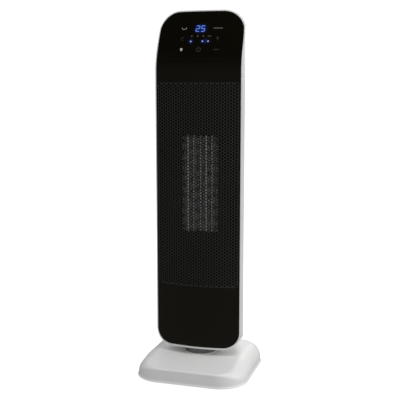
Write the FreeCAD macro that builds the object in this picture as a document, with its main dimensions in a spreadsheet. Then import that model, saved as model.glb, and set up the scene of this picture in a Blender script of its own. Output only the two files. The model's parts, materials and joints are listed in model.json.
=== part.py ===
"""Oscillating ceramic tower heater, modelled as a parametric FreeCAD document.

Row frame, millimetres: +Z up, the origin on the floor under the swivel axis, the air outlet facing -Y.
Every driving dimension is a cell of the Sizes sheet. Each piece of the heater is one object whose sizes
follow those cells, and whose Label names its file in the parts folder.
"""

import FreeCAD, Part
import math
import os
import re
import Sketcher
from FreeCAD import Placement, Rotation, Vector

doc = FreeCAD.newDocument("tower_heater")
PARTS_FOLDER = "parts"

# ---------------------------------------------------------------------------------------------- sizes

SIZES = {
    # base: a rounded square pedestal with a soft top edge and one sloping facet at the front
    "base_half": 95.8,          # half the width over the side walls
    "base_corner": 46.3,        # plan radius of the four corners
    "base_rise": 1.0,           # the cover ends this much above the floor, the feet stand proud of it
    "plateau": 32.5,            # height of the flat top
    "ridge_y": -24.0,           # line where the flat top breaks into the front facet
    "facet_angle": 6.5,         # slope of the front facet, degrees
    "ridge_radius": 30.0,       # rounding of that break
    "side_round": 24.0,         # rounding of the top edge at the sides and the back
    "front_round": 3.0,         # rounding of the top edge along the front
    "lip_out": 1.7,             # foot lip, outwards
    "lip_height": 3.0,          # foot lip, upwards
    "wall": 2.5,                # wall of the base cover
    "slack": 0.3,               # gap between neighbouring mouldings
    "plate_top": 3.5,           # inner face of the base plate
    "foot_radius": 8.0,
    "foot_peg": 3.0,
    "foot_reach": 66.0,         # foot centres from both middle planes
    "screw_reach": 76.0,        # base screw centres from both middle planes
    "boss_radius": 4.5,
    "screw_shank": 1.5,
    "screw_head": 3.2,
    "screw_pass": 1.8,          # clearance hole for a shank
    # swivel and its drive
    "spindle_radius": 22.0,
    "spindle_bore": 17.0,
    "running_gap": 0.08,
    "sleeve_wall": 3.0,
    "gear_low": 20.0,
    "gear_high": 26.0,
    "seat_radius": 30.0,        # level seat round the spindle
    "washer_high": 33.3,
    "collar_low": 33.6,
    "collar_radius": 28.0,
    "flange_high": 55.7,        # top of the spindle flange inside the tower
    "flange_sheet": 3.0,
    "gear_module": 1.25,
    "gear_teeth": 60.0,         # of a full circle at the radius of the sector
    "pinion_teeth": 20.0,
    "gear_spacing": 50.0,       # swivel axis to pinion axis
    "motor_radius": 25.0,
    "motor_high": 18.3,
    "motor_y": 60.0,
    "motor_shaft": 3.0,
    # tip-over button and cord inlet
    "button_radius": 5.0,
    "button_x": -58.0,
    "button_y": -46.0,
    "cord_bore": 3.7,
    "gland_radius": 5.0,
    "gland_flange": 6.8,
    "gland_sink": 3.4,          # the outer flange sits this deep in the wall
    "gland_boss": 9.0,          # thickness of the wall round the gland
    "gland_z": 11.2,
    "gland_x": -30.0,
    # tower envelope
    "tower_half": 76.2,
    "tower_low": 43.5,
    "tower_high": 622.0,
    "tower_corner": 28.5,       # lower corners, seen from the front
    "tower_top_corner": 38.0,
    "front_y": -32.0,           # foremost line of the bowed front
    "bow_radius": 217.0,        # plan radius of the front
    "lean_z": 538.0,            # height where the front breaks back
    "lean_angle": 23.0,
    "lean_radius": 100.0,
    "belly_y": -6.5,            # the plan curve of the back starts here
    "rear_y": 60.0,
    "rear_round": 24.0,         # rounding over the back, seen from the side
    "shell_wall": 2.0,
    "shell_floor": 3.2,
    "rim_back": 0.7,            # the white rim ends this far behind the black front
    # front panels and grille
    "panel_half": 74.0,
    "panel_low": 46.9,
    "panel_high": 619.8,
    "panel_corner": 26.3,
    "panel_top_corner": 36.0,
    "panel_depth": 3.2,
    "frame_depth": 6.2,
    "seam_z": 535.0,            # joint between the lower front and the touch panel
    "window_half": 71.8,
    "window_low": 153.6,
    "window_high": 502.0,
    "grille_front": 0.9,
    "grille_back": 1.7,
    "slot_width": 6.0,
    "slot_height": 16.0,
    "slot_column": 9.0,
    "slot_row": 21.0,
    # heater block, fan and their housings
    "baffle_front": -10.0,
    "baffle_back": -8.0,
    "heater_half": 32.5,
    "heater_low": 246.0,
    "heater_high": 413.0,
    "heater_back": 9.0,
    "strip_width": 2.2,
    "fin_period": 4.15,
    "foil": 0.35,
    "fan_y": 31.0,
    "fan_radius": 18.5,
    "fan_low": 250.0,
    "fan_high": 409.0,
    "fan_blades": 24.0,
    "fan_shaft": 3.0,
    "fan_motor_radius": 22.0,
    # rear
    "intake_half": 48.0,
    "intake_low": 175.0,
    "intake_high": 495.0,
    "intake_sheet": 2.2,
    "switch_z": 100.0,
    "rocker_y": 56.4,
    "rocker_tilt": 8.0,         # the rocker rests pressed in at the top
}


def make_sheet(sizes):
    """The Sizes sheet: names in column A, plain numbers with an alias in column B."""
    table = doc.addObject("Spreadsheet::Sheet", "Sizes")
    for row, (alias, value) in enumerate(sizes.items(), start=1):
        table.set(f"A{row}", alias)
        table.set(f"B{row}", str(value))
        table.setAlias(f"B{row}", alias)
    return table


sheet = make_sheet(SIZES)
doc.recompute()
SIZE_NAME = re.compile(r"\b(" + "|".join(sorted(SIZES, key=len, reverse=True)) + r")\b")


def bound(text):
    """An expression in which every size name points at its cell."""
    return SIZE_NAME.sub(lambda found: "Sizes." + found.group(1), str(text))


def number(text):
    """The present value of such an expression."""
    value = sheet.evalExpression(bound(text))
    return float(getattr(value, "Value", value))


# ---------------------------------------------------------------------------------------- solid tools

NODES = []
TURN = {
    "x": Rotation(Vector(0, 0, 1), Vector(1, 0, 0)),
    "y": Rotation(Vector(0, 0, 1), Vector(0, 1, 0)),
    "z": Rotation(),
}
PLANE_OF = {"x": "YZ_Plane", "y": "XZ_Plane", "z": "XY_Plane"}


def node(label, shape):
    """Marks an object as one piece of the heater."""
    shape.Label = label
    NODES.append(shape)
    return shape


def box(x, y, z, name="box"):
    """Block between two corners, each direction given as a (low, high) pair of expressions."""
    block = doc.addObject("Part::Box", name)
    for size, axis, (low, high) in zip(("Length", "Width", "Height"), "xyz", (x, y, z)):
        block.setExpression(size, bound(f"({high}) - ({low})"))
        block.setExpression(f"Placement.Base.{axis}", bound(low))
    return block


def rod(x, y, z, radius, axis="z", name="rod"):
    """Cylinder along an axis. That axis has a (low, high) pair, the other two are the centre."""
    centre = dict(zip("xyz", (x, y, z)))
    low, high = centre[axis]
    centre[axis] = low
    cylinder = doc.addObject("Part::Cylinder", name)
    cylinder.Placement = Placement(Vector(), TURN[axis])
    cylinder.setExpression("Radius", bound(radius))
    cylinder.setExpression("Height", bound(f"({high}) - ({low})"))
    for direction, value in centre.items():
        cylinder.setExpression(f"Placement.Base.{direction}", bound(value))
    return cylinder


def fuse(*shapes, name="fuse"):
    """One solid from several that touch or overlap."""
    if len(shapes) == 1:
        return shapes[0]
    union = doc.addObject("Part::MultiFuse", name)
    union.Shapes = list(shapes)
    union.Refine = True
    return union


def group(*shapes, name="group"):
    """Several solids that keep apart."""
    if len(shapes) == 1:
        return shapes[0]
    together = doc.addObject("Part::Compound", name)
    together.Links = list(shapes)
    return together


def common(*shapes, name="common"):
    """What all the shapes share."""
    shared = doc.addObject("Part::MultiCommon", name)
    shared.Shapes = list(shapes)
    return shared


def cut(base, *tools, name="cut"):
    """The base less the tools, which may overlap one another."""
    rest = doc.addObject("Part::Cut", name)
    rest.Base = base
    rest.Tool = fuse(*tools, name=name + "_tools")
    return rest


def cut_apart(base, tools, name="cut"):
    """The base less many tools that keep apart from one another."""
    rest = doc.addObject("Part::Cut", name)
    rest.Base = base
    rest.Tool = group(*tools, name=name + "_tools")
    return rest


def tube(x, y, z, outer, inner, axis="z", name="tube"):
    """Hollow cylinder."""
    return cut(rod(x, y, z, outer, axis), rod(x, y, z, inner, axis), name=name)


def solid_from(shape, name="shaped"):
    """A fixed shape worked out in code from the sheet, for forms that no feature draws well."""
    feature = doc.addObject("Part::Feature", name)
    # wrapped once, so that the shape keeps the place it was given in code
    feature.Shape = Part.makeCompound([shape])
    feature.Placement = Placement()
    return feature


# ------------------------------------------------------------------------------------- sketched solids


def origin_plane(body, role):
    """One of a body's own origin planes."""
    return next(item for item in body.Origin.OriginFeatures if item.Role == role)


def new_sketch(body, axis, name, level="0"):
    """Sketch on the origin plane square to the axis, moved along that plane's normal to the level."""
    sketch = body.newObject("Sketcher::SketchObject", name)
    sketch.AttachmentSupport = [(origin_plane(body, PLANE_OF[axis]), "")]
    sketch.MapMode = "FlatFace"
    sketch.setExpression("AttachmentOffset.Base.z", bound(level))
    return sketch


def dimension(sketch, kind, geometry, point, text):
    """Ties one coordinate of a sketch point to an expression, whatever its sign."""
    value = number(text)
    if abs(value) < 1e-9:
        sketch.addConstraint(Sketcher.Constraint("PointOnObject", geometry, point,
                                                 -2 if kind == "DistanceX" else -1))
        return
    ends = (-1, 1, geometry, point) if value > 0 else (geometry, point, -1, 1)
    index = sketch.addConstraint(Sketcher.Constraint(kind, *ends, abs(value)))
    sketch.setExpression(f"Constraints[{index}]", bound(text if value > 0 else f"-({text})"))


def polygon(points):
    """Drawer of a closed outline through the points, each a pair of expressions."""
    def draw(sketch):
        spots = [Vector(number(across), number(up), 0) for across, up in points]
        count = len(spots)
        for start, end in zip(spots, spots[1:] + spots[:1]):
            sketch.addGeometry(Part.LineSegment(start, end), False)
        for index in range(count):
            sketch.addConstraint(Sketcher.Constraint("Coincident", index, 2, (index + 1) % count, 1))
        for index, (across, up) in enumerate(points):
            dimension(sketch, "DistanceX", index, 1, across)
            dimension(sketch, "DistanceY", index, 1, up)
    return draw


def rounded_rectangle(half, low, high, corner, top_corner=None):
    """Drawer of a rounded rectangle, centred across and reaching from low to high."""
    top_corner = top_corner or corner

    def draw(sketch):
        right, bottom, top, below, above = (number(text) for text in (half, low, high, corner, top_corner))
        base, lid, foot, head = bottom + below, top - above, right - below, right - above
        corners = [(head, lid, above, 0), (-head, lid, above, 90),
                   (-foot, base, below, 180), (foot, base, below, 270)]
        sides = [((right, base), (right, lid)), ((head, top), (-head, top)),
                 ((-right, lid), (-right, base)), ((-foot, bottom), (foot, bottom))]
        for (start, end), (across, up, radius, turn) in zip(sides, corners):
            sketch.addGeometry(Part.LineSegment(Vector(*start, 0), Vector(*end, 0)), False)
            circle = Part.Circle(Vector(across, up, 0), Vector(0, 0, 1), radius)
            turn = math.radians(turn)
            sketch.addGeometry(Part.ArcOfCircle(circle, turn, turn + math.pi / 2), False)
        for side in range(0, 8, 2):
            sketch.addConstraint(Sketcher.Constraint("Tangent", side, 2, side + 1, 1))
            sketch.addConstraint(Sketcher.Constraint("Tangent", side + 1, 2, (side + 2) % 8, 1))
            direction = "Vertical" if side % 4 == 0 else "Horizontal"
            sketch.addConstraint(Sketcher.Constraint(direction, side))
        for arc, twin, size, text in ((1, 3, above, top_corner), (5, 7, below, corner)):
            sketch.addConstraint(Sketcher.Constraint("Equal", arc, twin))
            index = sketch.addConstraint(Sketcher.Constraint("Radius", arc, size))
            sketch.setExpression(f"Constraints[{index}]", bound(text))
        dimension(sketch, "DistanceX", 0, 1, half)
        dimension(sketch, "DistanceX", 4, 1, f"-({half})")
        dimension(sketch, "DistanceY", 2, 1, high)
        dimension(sketch, "DistanceY", 6, 1, low)
    return draw


def fixed_outline(curves):
    """Drawer of curves worked out from the sheet, held where they are."""
    def draw(sketch):
        for curve in curves:
            index = sketch.addGeometry(curve, False)
            sketch.addConstraint(Sketcher.Constraint("Block", index))
    return draw


def prism(draw, axis, low, high, name="prism"):
    """Body: an outline drawn square to the axis and padded from low to high along it."""
    body = doc.addObject("PartDesign::Body", name)
    # the XZ plane looks towards -Y, so a pad on it starts at the high end
    level = f"-({high})" if axis == "y" else low
    sketch = new_sketch(body, axis, name + "_outline", level)
    draw(sketch)
    pad = body.newObject("PartDesign::Pad", name + "_pad")
    pad.Profile = sketch
    pad.setExpression("Length", bound(f"({high}) - ({low})"))
    body.Tip = pad
    return body


# ------------------------------------------------------------------------------------- swept surfaces


def bow_line(behind):
    """Plan arc of the front, a distance behind its face, wide enough to pass both sides."""
    half = number("tower_half") + 12
    radius = number("bow_radius")
    centre = number("front_y") + radius
    angle = math.asin(half / radius)
    circle = Part.Circle(Vector(0, centre + behind, 0), Vector(0, 0, 1), radius)
    arc = Part.ArcOfCircle(circle, -math.pi / 2 - angle, -math.pi / 2 + angle)
    return arc, arc.StartPoint, arc.EndPoint


def lean_path(low):
    """Side view of the front, in (depth, height): upright, a soft bend, then leaning back."""
    lean = math.radians(number("lean_angle"))
    radius = number("lean_radius")
    bend = radius * math.tan(lean / 2)
    depth, height = number("front_y"), number("lean_z")
    foot = Vector(depth, low, 0)
    start = Vector(depth, height - bend, 0)
    circle = Part.Circle(start + Vector(radius, 0, 0), Vector(0, 0, 1), radius)
    arc = Part.ArcOfCircle(circle, math.pi - lean, math.pi)
    end = arc.StartPoint
    top = end + Vector(math.sin(lean), math.cos(lean), 0) * 100
    return [Part.LineSegment(foot, start), arc, Part.LineSegment(end, top)]


def front_band(near, far, name="band"):
    """Body: the layer of the bowed, leaning front between two depths behind its face.

    With near left out it is all the space ahead of the far depth.
    """
    body = doc.addObject("PartDesign::Body", name)
    plan = new_sketch(body, "z", name + "_plan", "20")
    back, back_left, back_right = bow_line(number(far))
    if near is None:
        left, right = Vector(back_left.x, -260, 0), Vector(back_right.x, -260, 0)
        front = Part.LineSegment(left, right)
    else:
        front, left, right = bow_line(number(near))
    sides = [Part.LineSegment(left, back_left), Part.LineSegment(right, back_right)]
    fixed_outline([front, back] + sides)(plan)
    path = new_sketch(body, "x", name + "_path")
    fixed_outline(lean_path(20))(path)
    sweep = body.newObject("PartDesign::AdditivePipe", name + "_sweep")
    sweep.Profile = plan
    sweep.Spine = (path, ["Edge1", "Edge2", "Edge3"])
    sweep.Mode = "Fixed"
    body.Tip = sweep
    return body


def back_plan(inset):
    """Drawer of the tower's plan: straight sides ahead, half an ellipse round the back."""
    half = number("tower_half") - inset
    centre = number("belly_y")
    depth = number("rear_y") - centre - inset
    ellipse = Part.Ellipse(Vector(0, centre, 0), half, depth)
    ahead = -150
    return fixed_outline([
        Part.ArcOfEllipse(ellipse, 0, math.pi),
        Part.LineSegment(Vector(-half, centre, 0), Vector(-half, ahead, 0)),
        Part.LineSegment(Vector(-half, ahead, 0), Vector(half, ahead, 0)),
        Part.LineSegment(Vector(half, ahead, 0), Vector(half, centre, 0)),
    ])


def lean_depth(height, behind):
    """How far back the middle of a leaning layer is at a height."""
    rise = height - number("lean_z")
    return number("front_y") + behind + rise * math.tan(math.radians(number("lean_angle")))


# ------------------------------------------------------------------------------------------------ base


def is_top_edge(edge):
    """Whether an edge runs round the top of the pedestal, and not across it."""
    box_ = edge.BoundBox
    middle = edge.tangentAt((edge.FirstParameter + edge.LastParameter) / 2)
    across = box_.XLength > 150 and box_.YLength < 1 and abs(box_.Center.y) < 60
    return box_.ZMin > 10 and abs(middle.z) < 0.9 and not across


def edge_round(depth, inset):
    """Top edge radius, growing from the front to the sides."""
    front, side = number("front_round"), number("side_round")
    share = min(max((depth + 90) / 40, 0), 1)
    return max(front + (side - front) * share - inset, 0.5)


def pedestal(inset, floor, name):
    """The pedestal as one solid, or the space inside it when it is inset."""
    half = f"base_half - {inset}"
    plan = prism(rounded_rectangle(half, f"-({half})", half, f"base_corner - {inset}"),
                 "z", floor, "plateau + 20", name + "_plan")
    slope = math.radians(number("facet_angle"))
    radius = number("ridge_radius") - inset
    bend = radius * math.tan(slope / 2)
    ridge = Vector(number("ridge_y") + inset * math.tan(slope / 2), number("plateau") - inset, 0)
    down = Vector(-math.cos(slope), -math.sin(slope), 0)
    reach = number("base_half") + 20
    ground = number(floor) - 1
    toe = ridge + down * ((ridge.x + reach) / math.cos(slope))
    flat = ridge + Vector(bend, 0, 0)
    heel = Vector(reach, ridge.y, 0)
    circle = Part.Circle(flat - Vector(0, radius, 0), Vector(0, 0, 1), radius)
    side = prism(fixed_outline([
        Part.LineSegment(Vector(toe.x, ground, 0), toe),
        Part.LineSegment(toe, ridge + down * bend),
        Part.ArcOfCircle(circle, math.pi / 2, math.pi / 2 + slope),
        Part.LineSegment(flat, heel),
        Part.LineSegment(heel, Vector(heel.x, ground, 0)),
        Part.LineSegment(Vector(heel.x, ground, 0), Vector(toe.x, ground, 0)),
    ]), "x", "-base_half - 20", "base_half + 20", name + "_side")
    block = common(plan, side, name=name + "_block")
    doc.recompute()
    soft = doc.addObject("Part::Fillet", name + "_soft")
    soft.Base = block
    soft.Edges = [
        (index, edge_round(edge.valueAt(edge.FirstParameter).y, inset),
         edge_round(edge.valueAt(edge.LastParameter).y, inset))
        for index, edge in enumerate(block.Shape.Edges, 1) if is_top_edge(edge)
    ]
    return soft


def at_corners(reach, build):
    """One shape for each of the four corners, built from the two centre expressions."""
    return [build(f"{x} * {reach}", f"{y} * {reach}") for x in (-1, 1) for y in (-1, 1)]


def make_base_cover():
    outer = pedestal(0, "base_rise", "pedestal")
    inner = pedestal(number("wall"), "base_rise - 1", "pedestal_space")
    half = "base_half + lip_out"
    skirt = prism(rounded_rectangle(half, f"-({half})", half, "base_corner + lip_out"),
                  "z", "base_rise", "base_rise + lip_height", "lip")
    doc.recompute()
    lip = doc.addObject("Part::Chamfer", "lip_slope")
    lip.Base = skirt
    lip.Edges = [
        (index, number("lip_height") - 0.6, number("lip_out") - 0.02)
        for index, edge in enumerate(skirt.Shape.Edges, 1)
        if edge.BoundBox.ZMin > number("base_rise + lip_height") - 0.01
    ]
    hollow = cut(fuse(outer, lip, name="cover_outside"), inner, name="cover_hollow")
    sleeve = rod("0", "0", ("gear_high + slack", "plateau - 1"), "spindle_radius + sleeve_wall", name="sleeve")
    bosses = at_corners("screw_reach", lambda x, y: rod(x, y, ("plate_top", "plateau"), "boss_radius"))
    inside = common(pedestal(1.0, "base_rise", "boss_limit"), group(*bosses, name="bosses"), name="boss_posts")
    seat = rod("0", "0", ("plateau - 2", "plateau"), "seat_radius", name="seat")
    pad = common(pedestal(0.5, "plate_top + slack", "gland_limit"),
                 rod("gland_x", ("base_half - gland_boss", "base_half"), "gland_z", "gland_flange + 2.4", "y"))
    body = fuse(hollow, sleeve, inside, seat, pad, name="cover_body")
    holes = at_corners("screw_reach", lambda x, y: rod(x, y, ("plate_top - 1", "12"), "screw_shank"))
    bore = rod("0", "0", ("gear_low", "plateau + 1"), "spindle_radius + running_gap", name="swivel_bore")
    gland = fuse(
        rod("gland_x", ("base_half - gland_boss - 1", "base_half + 3"), "gland_z", "gland_radius", "y"),
        rod("gland_x", ("base_half - gland_sink", "base_half + 3"), "gland_z", "gland_flange + 0.2", "y"),
        name="gland_hole")
    return node("base_cover", cut_apart(body, holes + [bore, gland], name="base_cover"))


def make_base_plate():
    half = "base_half - wall - slack"
    plate = prism(rounded_rectangle(half, f"-({half})", half, "base_corner - wall - slack"),
                  "z", "base_rise", "plate_top", "plate")
    cup = rod("0", "0", ("plate_top - 1", "gear_low - slack"), "spindle_radius + sleeve_wall", name="cup")
    posts = [rod(f"{side} * 31", "motor_y", ("plate_top - 1", "motor_high - 1.2"), "4") for side in (-1, 1)]
    stand = box(("button_x - 13", "button_x + 13"), ("button_y + 6", "button_y + 8"),
                ("plate_top - 1", "23"), "switch_stand")
    shelf = box(("button_x - 13", "button_x + 13"), ("button_y + 3.2", "button_y + 7"), ("14", "23"), "switch_back")
    rails = [box(("36 + " + str(start), "38 + " + str(start)), ("20", "44"), ("plate_top - 1", "7"))
             for start in (0, 22)]
    solid = fuse(plate, cup, stand, shelf, *posts, *rails, name="plate_body")
    holes = at_corners("foot_reach", lambda x, y: rod(x, y, ("0", "plate_top + 1"), "foot_peg"))
    holes += at_corners("screw_reach", lambda x, y: rod(x, y, ("0", "2.6"), "screw_head + 0.3"))
    holes += [rod(f"{side} * 31", "motor_y", ("10", "motor_high"), "screw_shank") for side in (-1, 1)]
    holes.append(rod("button_x", "button_y", ("0", "plate_top + 1"), "button_radius + slack"))
    passes = at_corners("screw_reach", lambda x, y: rod(x, y, ("2.5", "plate_top + 1"), "screw_pass"))
    cup_bore = rod("0", "0", ("plate_top", "gear_low + 1"), "spindle_radius + running_gap")
    return node("base_plate", cut(cut_apart(solid, holes), *passes, cup_bore, name="base_plate"))


def make_base_fittings():
    feet = at_corners("foot_reach", lambda x, y: fuse(
        rod(x, y, ("0", "base_rise"), "foot_radius"), rod(x, y, ("base_rise - 0.5", "plate_top"), "foot_peg")))
    node("rubber_feet", group(*feet, name="rubber_feet"))
    screws = at_corners("screw_reach", lambda x, y: fuse(
        rod(x, y, ("1.3", "2.6"), "screw_head"), rod(x, y, ("2.5", "12"), "screw_shank")))
    node("base_screws", group(*screws, name="base_screws"))
    node("swivel_washer", tube("0", "0", ("plateau", "washer_high"), "collar_radius", "24", name="swivel_washer"))
    gland = fuse(
        rod("gland_x", ("base_half - gland_boss - 2.4", "base_half - 2"), "gland_z", "gland_radius", "y"),
        rod("gland_x", ("base_half - gland_sink", "base_half - gland_sink + 1.6"), "gland_z", "gland_flange", "y"),
        rod("gland_x", ("base_half - gland_boss - 2.4", "base_half - gland_boss"), "gland_z", "gland_flange", "y"))
    bore = rod("gland_x", ("base_half - gland_boss - 4", "base_half + 2"), "gland_z", "cord_bore", "y")
    node("cord_inlet", cut(gland, bore, name="cord_inlet"))


def make_swing_motor():
    can = rod("0", "motor_y", ("plate_top", "motor_high"), "motor_radius", name="can")
    ears = box(("-35", "35"), ("motor_y - 5", "motor_y + 5"), ("motor_high - 1.2", "motor_high"), "ears")
    nose = rod("0", "gear_spacing", ("motor_high - 1", "gear_low - 0.5"), "5.5", name="nose")
    holes = [rod(f"{side} * 31", "motor_y", ("10", "gear_low"), "screw_pass") for side in (-1, 1)]
    well = rod("0", "gear_spacing", ("plate_top + 2", "gear_low"), "motor_shaft + running_gap", name="well")
    node("swing_motor", cut_apart(fuse(can, ears, nose, name="motor_body"), holes + [well], name="swing_motor"))
    screws = [fuse(rod(f"{side} * 31", "motor_y", ("motor_high", "motor_high + 1.6"), "screw_head"),
                   rod(f"{side} * 31", "motor_y", ("10", "motor_high + 0.1"), "screw_shank")) for side in (-1, 1)]
    node("motor_screws", group(*screws, name="motor_screws"))
    shaft = rod("0", "gear_spacing", ("plate_top + 2.4", "gear_high + 1"), "motor_shaft", name="motor_shaft")
    node("motor_shaft", shaft)


def make_terminal_block():
    block = box(("38.3", "57.7"), ("22", "42"), ("plate_top", "15"), "block")
    wells = [rod(f"{x}", y, ("10", "16"), "1.8") for x in (43, 48, 53) for y in ("26", "38")]
    node("terminal_block", cut_apart(block, wells, name="terminal_block"))


def involute_wheel(teeth, module, turn, backlash, addendum=1.0, dedendum=1.25):
    """Outline points of a spur wheel, with a tooth centred at the turn angle."""
    pitch = teeth * module / 2
    pressure = math.radians(20)
    base = pitch * math.cos(pressure)
    tip = pitch + addendum * module
    root = pitch - dedendum * module
    half = math.pi / (2 * teeth) - backlash / (2 * pitch)
    involute = lambda radius: math.sqrt(max((radius / base) ** 2 - 1, 0))
    flank = lambda radius: half + (math.tan(pressure) - pressure) - (involute(radius) - math.atan(involute(radius)))
    radii = [max(base, root) + (tip - max(base, root)) * step / 6 for step in range(7)]
    points = []
    for tooth in range(teeth):
        middle = turn + 2 * math.pi * tooth / teeth
        side = [(root, flank(radii[0]) + 0.004)] + [(radius, flank(radius)) for radius in radii]
        points += [(radius, middle - angle) for radius, angle in side]
        points += [(radius, middle + angle) for radius, angle in reversed(side)]
    return [Vector(radius * math.cos(angle), radius * math.sin(angle), 0) for radius, angle in points]


def make_gears():
    """The toothed sector on the spindle and the pinion that drives it."""
    module = number("gear_module")
    low, high = number("gear_low"), number("gear_high")
    teeth, few = int(number("gear_teeth")), int(number("pinion_teeth"))
    points = involute_wheel(teeth, module, math.pi / 2, 0.16)
    wheel = Part.Face(Part.makePolygon(points + points[:1])).extrude(Vector(0, 0, high - low))
    arc = math.radians(52)
    rim = Vector(math.cos(math.pi / 2 - arc), math.sin(math.pi / 2 - arc), 0) * 90
    far = Vector(-rim.x, rim.y, 0)
    wedge = Part.Face(Part.makePolygon([Vector(), rim, Vector(rim.x, 90, 0), Vector(far.x, 90, 0), far, Vector()]))
    wheel = wheel.common(wedge.extrude(Vector(0, 0, high - low)))
    hub = Part.makeCylinder(number("spindle_radius") + 5, high - low)
    wheel = wheel.fuse(hub).cut(Part.makeCylinder(number("spindle_radius"), high - low)).removeSplitter()
    wheel.translate(Vector(0, 0, low))
    node("swing_sector", solid_from(wheel, "swing_sector"))
    # the pinion has a gap facing the tooth at the middle of the sector
    points = involute_wheel(few, module, -math.pi / 2 + math.pi / few, 0.16)
    pinion = Part.Face(Part.makePolygon(points + points[:1])).extrude(Vector(0, 0, high - low))
    pinion = pinion.cut(Part.makeCylinder(number("motor_shaft"), high - low))
    pinion.translate(Vector(0, number("gear_spacing"), low))
    node("swing_pinion", solid_from(pinion, "swing_pinion"))


def coil(radius, wire, low, high, turns):
    """Spring along Z: an eight-sided wire swept round a helix."""
    path = Part.makeHelix((high - low - 2 * wire) / turns, high - low - 2 * wire, radius)
    angles = [math.pi * side / 4 for side in range(8)]
    corners = [Vector(radius + wire * math.cos(angle), 0, wire * math.sin(angle)) for angle in angles]
    ring = Part.makePolygon(corners + corners[:1])
    spring = Part.Wire(path.Edges).makePipeShell([ring], True, True)
    spring.translate(Vector(0, 0, low + wire))
    return spring


def make_tip_over():
    stem = fuse(
        rod("button_x", "button_y", ("0", "8.5"), "button_radius"),
        box(("button_x - 7.5", "button_x + 7.5"), ("button_y - 2.9", "button_y + 2.9"), ("8", "9.5"), "ears"),
        rod("button_x", "button_y", ("9", "12"), "1.8"), name="tip_button")
    node("tip_button", stem)
    spring = coil(3.4, 0.35, 9.8, 13.2, 3)
    spring.translate(Vector(number("button_x"), number("button_y"), 0))
    node("tip_spring", solid_from(spring, "tip_spring"))
    case = box(("button_x - 10", "button_x + 10"), ("button_y - 3.2", "button_y + 3.2"), ("13.5", "23"), "case")
    plate = rod("button_x", "button_y", ("13.2", "13.6"), "4.4")
    plunger = rod("button_x", "button_y", ("12.4", "13.6"), "1.4")
    tabs = [box((f"button_x + {x} - 0.4", f"button_x + {x} + 0.4"), ("button_y - 2.4", "button_y + 2.4"),
                ("22.8", "25.4")) for x in (-7, 0, 7)]
    node("tip_switch", fuse(case, plate, plunger, *tabs, name="tip_switch"))


# ---------------------------------------------------------------------------------------- swivel joint


def at_flange(build):
    """One shape for each of the four screws of the spindle flange."""
    return [build(x, y) for x in ("-27", "27") for y in ("-13", "24")]


def make_swivel():
    under = "flange_high - flange_sheet"
    spindle = fuse(rod("0", "0", ("plate_top + 0.6", "flange_high"), "spindle_radius"),
                   box(("-32", "32"), ("-18", "30"), (under, "flange_high"), "flange"), name="spindle_body")
    passes = at_flange(lambda x, y: rod(x, y, (f"{under} - 1", "flange_high + 1"), "screw_pass"))
    bore = rod("0", "0", ("0", "flange_high + 1"), "spindle_bore")
    node("pivot_spindle", cut_apart(spindle, passes + [bore], name="pivot_spindle"))
    node("neck_collar", tube("0", "0", ("collar_low", "tower_low"), "collar_radius", "spindle_radius",
                             name="neck_collar"))
    screws = at_flange(lambda x, y: fuse(rod(x, y, ("tower_low + 3", "flange_high + 0.1"), "screw_shank"),
                                         rod(x, y, ("flange_high", "flange_high + 2"), "screw_head")))
    node("spindle_screws", group(*screws, name="spindle_screws"))


# ----------------------------------------------------------------------------------------- tower shell

# rear case screws: height and the depth where the case post meets the front frame post
CASE_SCREWS = [(90, -9.0), (580, 18.0)]
SCREW_X = 60.0


def back_profile(inset, low, high):
    """Drawer of the tower's side view: square ahead, rounded over at the back."""
    back = number("rear_y") - inset
    radius = number("rear_round") - inset
    bottom, top = number(low), number(high)
    ahead = -150
    lower = Part.Circle(Vector(back - radius, bottom + radius, 0), Vector(0, 0, 1), radius)
    upper = Part.Circle(Vector(back - radius, top - radius, 0), Vector(0, 0, 1), radius)
    return fixed_outline([
        Part.LineSegment(Vector(ahead, bottom, 0), Vector(back - radius, bottom, 0)),
        Part.ArcOfCircle(lower, -math.pi / 2, 0),
        Part.LineSegment(Vector(back, bottom + radius, 0), Vector(back, top - radius, 0)),
        Part.ArcOfCircle(upper, 0, math.pi / 2),
        Part.LineSegment(Vector(back - radius, top, 0), Vector(ahead, top, 0)),
        Part.LineSegment(Vector(ahead, top, 0), Vector(ahead, bottom, 0)),
    ])


def tower_solid(inset, low, high, name):
    """The tower's outside, or the space in it: what its plan, front view and side view share."""
    plan = prism(back_plan(inset), "z", "tower_low - 5", "tower_high + 5", name + "_plan")
    front = prism(rounded_rectangle(f"tower_half - {inset}", low, high, f"tower_corner - {inset}",
                                    f"tower_top_corner - {inset}"), "y", "-145", "rear_y + 10", name + "_front")
    side = prism(back_profile(inset, low, high), "x", "-tower_half - 5", "tower_half + 5", name + "_side")
    return common(plan, front, side, name=name)


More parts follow.
